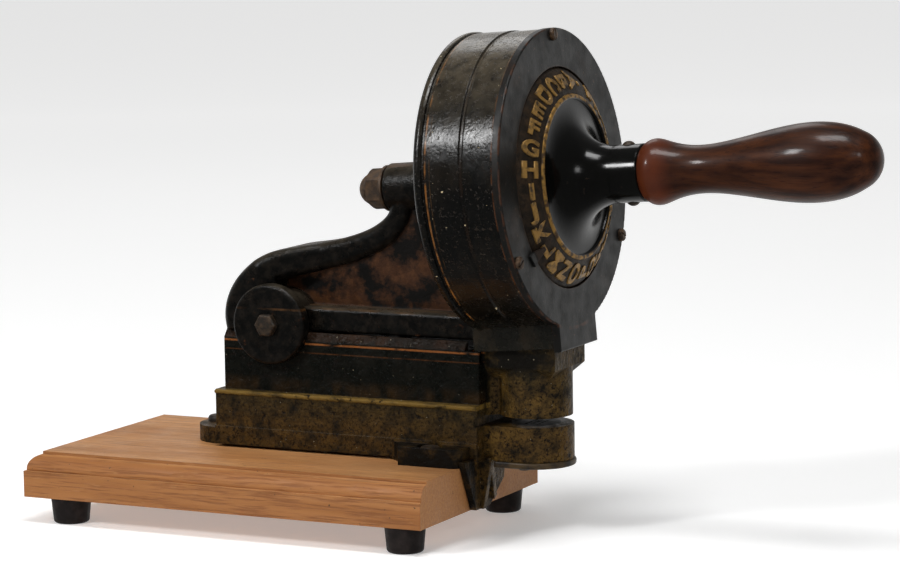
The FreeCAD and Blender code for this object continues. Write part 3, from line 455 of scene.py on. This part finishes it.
def plate_rubbed_black(look):
    # Flat iron plate, blacked and rubbed: dark satin grey with faint upright streaks, brown stains
    # and paint worn off its rim.
    material, tree, shader, place = start("iron_plate_blacked_rubbed")
    along, radius = dial_distances(tree, place)
    streak = blotches(tree, place, 5, 0.35, 0.7, stretch=(1, 1, 0.12), detail=5)
    stain = blotches(tree, place, 17, 0.55, 0.72, shift=3.0, detail=6)
    speck = blotches(tree, place, 2.0, 0.66, 0.71, shift=6.0, detail=4)
    worn = blotches(tree, place, 8, 0.46, 0.56, shift=8.0, detail=6)
    tone = over(tree, look.plate, linear("#121110"), streak)
    tone = over(tree, tone, linear("#241911"), stain, 0.7)
    rim = between(tree, radius, PLATE_RIM_R, PLATE_RIM_R + 1.7 * MM, soft=0.3 * MM)
    front = between(tree, along, -1 * MM, 1 * MM)
    hole = between(tree, radius, 0.0, PLATE_HOLE_R, soft=0.3 * MM)
    tone = over(tree, tone, linear("#3C2416"), rim, front, worn)
    tone = over(tree, tone, linear("#2B2018"), hole)
    tone = over(tree, tone, linear("#43301F"), speck)
    tree.links.new(tone, shader.inputs["Base Color"])
    shader.inputs["Specular IOR Level"].default_value = 0.26
    roughness(tree, shader, place, 9, 0.33, 0.5)
    surface(tree, shader, place, 0.9, 0.07, edge=0.6, fields=[(streak, 0.5), (speck, -0.6)])
    return material


def dial_ring_bronzed():
    # Cast ring, painted brown-black with bronze powder worn into its hollows: matt and dusty.
    material, tree, shader, place = start("cast_ring_bronzed_brown")
    powder = blotches(tree, place, 5, 0.42, 0.68, detail=6, rough=0.7)
    grime = blotches(tree, place, 2.2, 0.5, 0.7, shift=4.0, detail=5)
    tone = over(tree, linear("#1C150D"), linear("#362717"), powder)
    tone = over(tree, tone, linear("#0E0A07"), grime)
    tree.links.new(tone, shader.inputs["Base Color"])
    shader.inputs["Specular IOR Level"].default_value = 0.2
    roughness(tree, shader, place, 6, 0.42, 0.6)
    surface(tree, shader, place, 0.8, 0.12, edge=0.3, fields=[(powder, 0.8)])
    return material


def bronze_powder_gilding(look):
    # Bronze-powder gilding on cast letters: dull gold on the high places, dark where it has worn off.
    material, tree, shader, place = start("bronze_powder_gilding_worn")
    worn = blotches(tree, place, 4.5, 0.46, 0.64, detail=6, rough=0.7)
    tone = over(tree, look.gilt, linear("#2A2015"), worn)
    tree.links.new(tone, shader.inputs["Base Color"])
    metal = add(tree, "ShaderNodeMapRange", {"Value": worn, "To Min": 0.45, "To Max": 0.05}).outputs[0]
    tree.links.new(metal, shader.inputs["Metallic"])
    roughness(tree, shader, place, 4, 0.36, 0.55)
    surface(tree, shader, place, 0.6, 0.06, edge=0.2)
    return material


def hub_enamelled(look):
    # Cast hub, black enamelled: the glossiest black of the press, mirror-like in the flare, with a
    # rounded lip whose gilding is worn in patches.
    material, tree, shader, place = start("cast_hub_black_enamel")
    _, radius = dial_distances(tree, place)
    lip = between(tree, radius, HUB_LIP_R, HUB_LIP_R + 8.7 * MM, soft=0.3 * MM)
    worn = blotches(tree, place, 4, 0.44, 0.58, shift=3.0, detail=6)
    speck = blotches(tree, place, 1.6, 0.68, 0.74, shift=6.0, detail=4)
    left = add(tree, "ShaderNodeMath", {0: 1.0, 1: worn}, operation="SUBTRACT").outputs[0]
    gilded = add(tree, "ShaderNodeMath", {0: lip, 1: left}, operation="MULTIPLY").outputs[0]
    tone = over(tree, look.japan, linear("#2A211A"), speck)
    tone = over(tree, tone, linear("#3A2A1A"), lip)
    tone = over(tree, tone, look.gilt, gilded)
    tree.links.new(tone, shader.inputs["Base Color"])
    metal = add(tree, "ShaderNodeMath", {0: gilded, 1: 0.6}, operation="MULTIPLY").outputs[0]
    tree.links.new(metal, shader.inputs["Metallic"])
    shader.inputs["Specular IOR Level"].default_value = 0.2
    shader.inputs["Coat Weight"].default_value = 0.08
    shader.inputs["Coat Roughness"].default_value = 0.05
    roughness(tree, shader, place, 16, 0.1, 0.24, extra=lip)
    ripple = blotches(tree, place, 16, 0.2, 0.8, shift=7.0, detail=2)
    surface(tree, shader, place, 1.5, 0.03, edge=0.4, fields=[(ripple, 2.0)])
    return material


def metal_finish(name, base, stain_code, size, metallic, smooth, dull):
    """Bare or browned metal: a base tone, stains of one colour and a fine tooth."""
    material, tree, shader, place = start(name)
    stain = blotches(tree, place, size, 0.42, 0.66, detail=6, rough=0.65)
    tone = over(tree, linear(base), linear(stain_code), stain)
    tree.links.new(tone, shader.inputs["Base Color"])
    shader.inputs["Metallic"].default_value = metallic
    roughness(tree, shader, place, size * 1.5, smooth, dull, shift=4.0)
    surface(tree, shader, place, 0.8, 0.08, edge=0.35)
    return material


# Metals: name, base tone, stain, patch size in mm, metallic, smoothest and dullest roughness, and
# the nodes that have it.
METALS = (
    ("steel_rust_browned", "#32251A", "#574029", 4, 0.25, 0.45, 0.7,
     ("dome_nut", "nut_washer", "face_screws", "boss_set_screw")),
    ("steel_screw_blackened", "#26211C", "#4A3A2A", 3, 0.4, 0.35, 0.6,
     ("base_screws", "near_pivot_bolt", "far_pivot_bolt", "handle_rivet", "cover_screws",
      "foot_screws", "drum_screws")),
    ("iron_plate_bronzed_dirty", "#4A3A22", "#1E1811", 7, 0.1, 0.4, 0.6, ("chip_cover",)),
    ("steel_turned_oiled", "#6A6660", "#4A453E", 6, 0.9, 0.28, 0.42,
     ("spindle", "pivot_shaft", "perforating_pins", "pin_plate", "spring_post", "letter_blocks")),
    ("steel_die_blackened", "#1A1714", "#2C241B", 5, 0.3, 0.5, 0.7, ("pin_guide", "die_plate")),
    ("spring_steel_blued", "#2E323A", "#1C1E22", 5, 0.85, 0.25, 0.4,
     ("return_spring", "pin_spring", "detent_leaf")),
    ("brass_turned_dull", "#8A6A32", "#5E4622", 6, 0.9, 0.3, 0.45, ("boss_bush",)),
    ("iron_cast_blacked", "#1A1815", "#2C2620", 8, 0.2, 0.5, 0.7, ("punch_wheel",)),
)


def give(material, *names):
    """Puts one material on CAD nodes."""
    for name in names:
        slots = frame["nodes"][name].data.materials
        slots.clear()
        slots.append(material)


# ---- Building pieces ----

def keep(name, mesh, body, material):
    """Adds a finished mesh that moves with a body."""
    piece = bpy.data.objects.new(name, mesh)
    bpy.context.scene.collection.objects.link(piece)
    mesh.materials.clear()
    mesh.materials.append(material)
    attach(piece, body)
    return piece


def ring_height(radius):
    """Height of the coned letter ring above the face plate at a radius: a curve through its profile."""
    r = radius / MM
    total = 0.0
    points = (RING_OUT, RING_MIDDLE, RING_IN)
    for index, (own_r, own_s) in enumerate(points):
        share = own_s
        for other_r, _ in points[:index] + points[index + 1:]:
            share *= (r - other_r) / (own_r - other_r)
        total += share
    return total * MM


def letter_mesh(mark, letters):
    """One raised letter lying flat, its width along X and its height along Y, centred."""
    text = bpy.data.curves.new("letter", "FONT")
    text.body = mark
    text.align_x, text.align_y = "CENTER", "CENTER"
    text.size = letters.height / CAPITAL_SHARE
    text.extrude = letters.relief * 0.5
    text.bevel_depth = LETTER_BEVEL
    text.bevel_resolution = 1
    text.offset = LETTER_SWELL
    text.resolution_u = 4
    holder = bpy.data.objects.new("letter", text)
    bpy.context.scene.collection.objects.link(holder)
    bpy.context.view_layer.update()
    mesh = bpy.data.meshes.new_from_object(holder.evaluated_get(bpy.context.evaluated_depsgraph_get()))
    bpy.data.objects.remove(holder)
    bpy.data.curves.remove(text)
    return mesh


def set_letters(letters):
    """All the marks of the dial in one mesh: upright at nine o'clock, alphabet going to the left."""
    step = 2 * math.pi / len(LETTER_MARKS)
    middle_r = RING_MIDDLE[0] * MM
    slope = math.cos(math.atan2(RING_IN[1] - RING_OUT[1], RING_OUT[0] - RING_IN[0]))
    raised = bmesh.new()
    for index, mark in enumerate(LETTER_MARKS):
        mesh = letter_mesh(mark, letters)
        tall = [vertex.co.y for vertex in mesh.vertices]
        lift = (max(tall) + min(tall)) / 2 if mark != "." else 0
        angle = letters.first + index * step
        out = Vector((0, -math.sin(angle), math.cos(angle)))
        up = Vector((0, math.cos(angle), math.sin(angle)))
        for vertex in mesh.vertices:
            across = vertex.co.x * letters.stretch
            radius = middle_r - across * slope
            height = ring_height(radius) + vertex.co.z + letters.relief * 0.1
            flat = out * radius + up * (vertex.co.y - lift)
            vertex.co = DIAL_FRAME @ Vector((height, flat.y, flat.z))
        raised.from_mesh(mesh)
        bpy.data.meshes.remove(mesh)
    result = bpy.data.meshes.new("raised_letters")
    raised.to_mesh(result)
    raised.free()
    return result


# ---- Operators: one for each group of pieces, and one for the stage ----

class PressOperator:
    bl_options = {"REGISTER", "UNDO"}

    @property
    def look(self):
        return bpy.context.scene.press_finishes


class PRESS_OT_board(PressOperator, bpy.types.Operator):
    """Finish the oak board and its rubber feet"""
    bl_idname = "press.board"
    bl_label = "Board and feet"

    def execute(self, context):
        give(oak_planed_oiled(self.look), "wooden_board")
        give(rubber_moulded(self.look), "rubber_feet")
        return {"FINISHED"}


class PRESS_OT_base(PressOperator, bpy.types.Operator):
    """Paint the base casting, its panels and lining"""
    bl_idname = "press.base"
    bl_label = "Base casting"

    def execute(self, context):
        give(iron_bronze_painted(self.look), "base_casting")
        return {"FINISHED"}


class PRESS_OT_lever(PressOperator, bpy.types.Operator):
    """Japan the lever arm and the pivot discs"""
    bl_idname = "press.lever"
    bl_label = "Lever"

    def execute(self, context):
        give(iron_japanned_lever(self.look), "arm_casting", "near_pivot_disc", "far_pivot_disc")
        return {"FINISHED"}


class PRESS_OT_drum(PressOperator, bpy.types.Operator):
    """Japan the drum and rub down its face plate"""
    bl_idname = "press.drum"
    bl_label = "Drum and face plate"

    def execute(self, context):
        give(drum_japanned(self.look), "drum_shell")
        give(plate_rubbed_black(self.look), "face_plate", "index_pointer")
        return {"FINISHED"}


class PRESS_OT_dial(PressOperator, bpy.types.Operator):
    """Bronze the letter ring and raise its gilded letters"""
    bl_idname = "press.dial"
    bl_label = "Letter dial"

    def execute(self, context):
        give(dial_ring_bronzed(), "letter_dial")
        mesh = set_letters(context.scene.press_letters)
        keep("raised_letters", mesh, "dial", bronze_powder_gilding(self.look))
        return {"FINISHED"}


class PRESS_OT_handle(PressOperator, bpy.types.Operator):
    """Enamel the hub and varnish the turned grip"""
    bl_idname = "press.handle"
    bl_label = "Hub and grip"

    def execute(self, context):
        give(hub_enamelled(self.look), "hub_bell")
        give(hardwood_turned_varnished(self.look), "wooden_grip")
        return {"FINISHED"}


class PRESS_OT_metalwork(PressOperator, bpy.types.Operator):
    """Finish the screws, nuts, springs and the works inside"""
    bl_idname = "press.metalwork"
    bl_label = "Screws and works"

    def execute(self, context):
        for name, base, stain, size, metallic, smooth, dull, nodes in METALS:
            give(metal_finish(name, base, stain, size, metallic, smooth, dull), *nodes)
        return {"FINISHED"}


# Soft lights: name, place from the middle of the view in metres, width and height, and watts.
LIGHTS = (
    ("key_left", (-0.84, -1.5, 1.2), (0.3, 0.4), 18),
    ("top", (0.15, -0.35, 1.7), (0.8, 0.5), 19),
    ("back", (-0.9, 1.5, 1.4), (0.8, 0.8), 4),
    ("front", (1.5, -1.3, 0.9), (0.4, 0.4), 4),
)
FLOOR_HALF = 60                 # metres
GLOW_NEAR, GLOW_FAR = 0.3, 2.8  # metres from the press between which the floor's own glow grows
ROOM_DIM, ROOM_BRIGHT = 0.16, 0.9


def link_object(name, data):
    """An object of the stage, linked to the scene."""
    holder = bpy.data.objects.new(name, data)
    bpy.context.scene.collection.objects.link(holder)
    return holder


def lay_floor():
    """Pale floor that is not seen in reflections, and grows lighter away from the press."""
    mesh = bpy.data.meshes.new("studio_floor")
    half = FLOOR_HALF
    mesh.from_pydata([(-half, -half, 0), (half, -half, 0), (half, half, 0), (-half, half, 0)], [],
                     [(0, 1, 2, 3)])
    floor = link_object("studio_floor", mesh)
    floor.visible_glossy = False
    material, tree, shader, place = start("paper_white_lit_from_below")
    shader.inputs["Base Color"].default_value = (*linear("#F0F0F0"), 1)
    shader.inputs["Roughness"].default_value = 0.9
    shader.inputs["Specular IOR Level"].default_value = 0.05
    shader.inputs["Emission Color"].default_value = (1, 1, 1, 1)
    reach = add(tree, "ShaderNodeVectorMath", {0: place}, operation="LENGTH").outputs["Value"]
    glow = add(tree, "ShaderNodeMapRange", {"Value": reach, "From Min": GLOW_NEAR, "From Max": GLOW_FAR,
                                            "To Min": 0.29, "To Max": 0.61})
    tree.links.new(glow.outputs[0], shader.inputs["Emission Strength"])
    mesh.materials.append(material)


def light_room(azimuth):
    """A dim room, with a bright backdrop low down behind the press."""
    world = bpy.data.worlds.new("studio")
    world.use_nodes = True
    tree = world.node_tree
    way = add(tree, "ShaderNodeTexCoord").outputs["Generated"]
    away = (-math.sin(azimuth), math.cos(azimuth), 0)
    behind = add(tree, "ShaderNodeVectorMath", {0: way, 1: away}, operation="DOT_PRODUCT").outputs["Value"]
    behind = add(tree, "ShaderNodeMapRange", {"Value": behind, "From Min": 0.0, "From Max": 0.7})
    height = add(tree, "ShaderNodeSeparateXYZ", {0: way}).outputs["Z"]
    low = add(tree, "ShaderNodeMapRange", {"Value": height, "From Min": 0.5, "From Max": 0.05})
    glow = add(tree, "ShaderNodeMath", {0: behind.outputs[0], 1: low.outputs[0]}, operation="MULTIPLY")
    power = add(tree, "ShaderNodeMapRange", {"Value": glow.outputs[0], "To Min": ROOM_DIM,
                                             "To Max": ROOM_BRIGHT})
    room = tree.nodes["Background"]
    room.inputs["Color"].default_value = (*linear("#F6F6F5"), 1)
    tree.links.new(power.outputs[0], room.inputs["Strength"])
    bpy.context.scene.world = world


def soft_light(name, place, size, power, target):
    """A soft light at a place, turned to its target."""
    light = bpy.data.lights.new(name, "AREA")
    light.shape = "RECTANGLE"
    light.size, light.size_y = size
    light.energy = power
    holder = link_object(name, light)
    holder.location = place
    holder.rotation_euler = (target - place).to_track_quat("-Z", "Y").to_euler()


def place_camera(view, middle):
    """Camera that looks at the middle of the view from its azimuth, elevation and distance."""
    camera = bpy.data.cameras.new("camera")
    camera.sensor_width = 36
    camera.lens = view.lens
    camera.clip_end = 200
    holder = link_object("camera", camera)
    a, e = view.azimuth, view.elevation
    back = Vector((math.sin(a) * math.cos(e), -math.cos(a) * math.cos(e), math.sin(e)))
    right = Vector((math.cos(a), math.sin(a), 0))
    up = back.cross(right)
    lean_right = right * math.cos(view.roll) + up * math.sin(view.roll)
    lean_up = up * math.cos(view.roll) - right * math.sin(view.roll)
    turn = Matrix((lean_right, lean_up, back)).transposed().to_4x4()
    holder.matrix_world = Matrix.Translation(middle + back * view.distance) @ turn
    bpy.context.scene.camera = holder


class PRESS_OT_stage(PressOperator, bpy.types.Operator):
    """Pale floor, soft lights and the camera"""
    bl_idname = "press.stage"
    bl_label = "Stage"

    def execute(self, context):
        view = context.scene.press_view
        middle = DIAL_CENTRE + Vector((-view.left, 0, -view.below))
        lay_floor()
        light_room(view.azimuth)
        for name, offset, size, power in LIGHTS:
            soft_light(name, middle + Vector(offset), size, power, middle)
        place_camera(view, middle)
        context.scene.view_settings.view_transform = "Standard"
        return {"FINISHED"}


class PRESS_PT_panel(bpy.types.Panel):
    """Lists the groups of the press"""
    bl_label = "Letter perforating press"
    bl_idname = "PRESS_PT_panel"
    bl_space_type = "VIEW_3D"
    bl_region_type = "UI"
    bl_category = "Press"

    def draw(self, context):
        for operator in OPERATORS:
            self.layout.operator(operator.bl_idname)
        for group in (context.scene.press_finishes, context.scene.press_letters, context.scene.press_view):
            box = self.layout.box()
            for name in group.__annotations__:
                box.prop(group, name)


OPERATORS = (PRESS_OT_stage, PRESS_OT_board, PRESS_OT_base, PRESS_OT_lever, PRESS_OT_drum,
             PRESS_OT_dial, PRESS_OT_handle, PRESS_OT_metalwork)
GROUPS = {"press_finishes": PressFinishes, "press_letters": PressLetters, "press_view": PressView}


def register():
    for name, group in GROUPS.items():
        bpy.utils.register_class(group)
        setattr(bpy.types.Scene, name, bpy.props.PointerProperty(type=group))
    for one in (*OPERATORS, PRESS_PT_panel):
        bpy.utils.register_class(one)


def unregister():
    for one in (PRESS_PT_panel, *reversed(OPERATORS)):
        bpy.utils.unregister_class(one)
    for name, group in reversed(GROUPS.items()):
        delattr(bpy.types.Scene, name)
        bpy.utils.unregister_class(group)


def main():
    register()
    for operator in OPERATORS:
        group, name = operator.bl_idname.split(".")
        getattr(getattr(bpy.ops, group), name)()


if __name__ == "__main__":
    main()
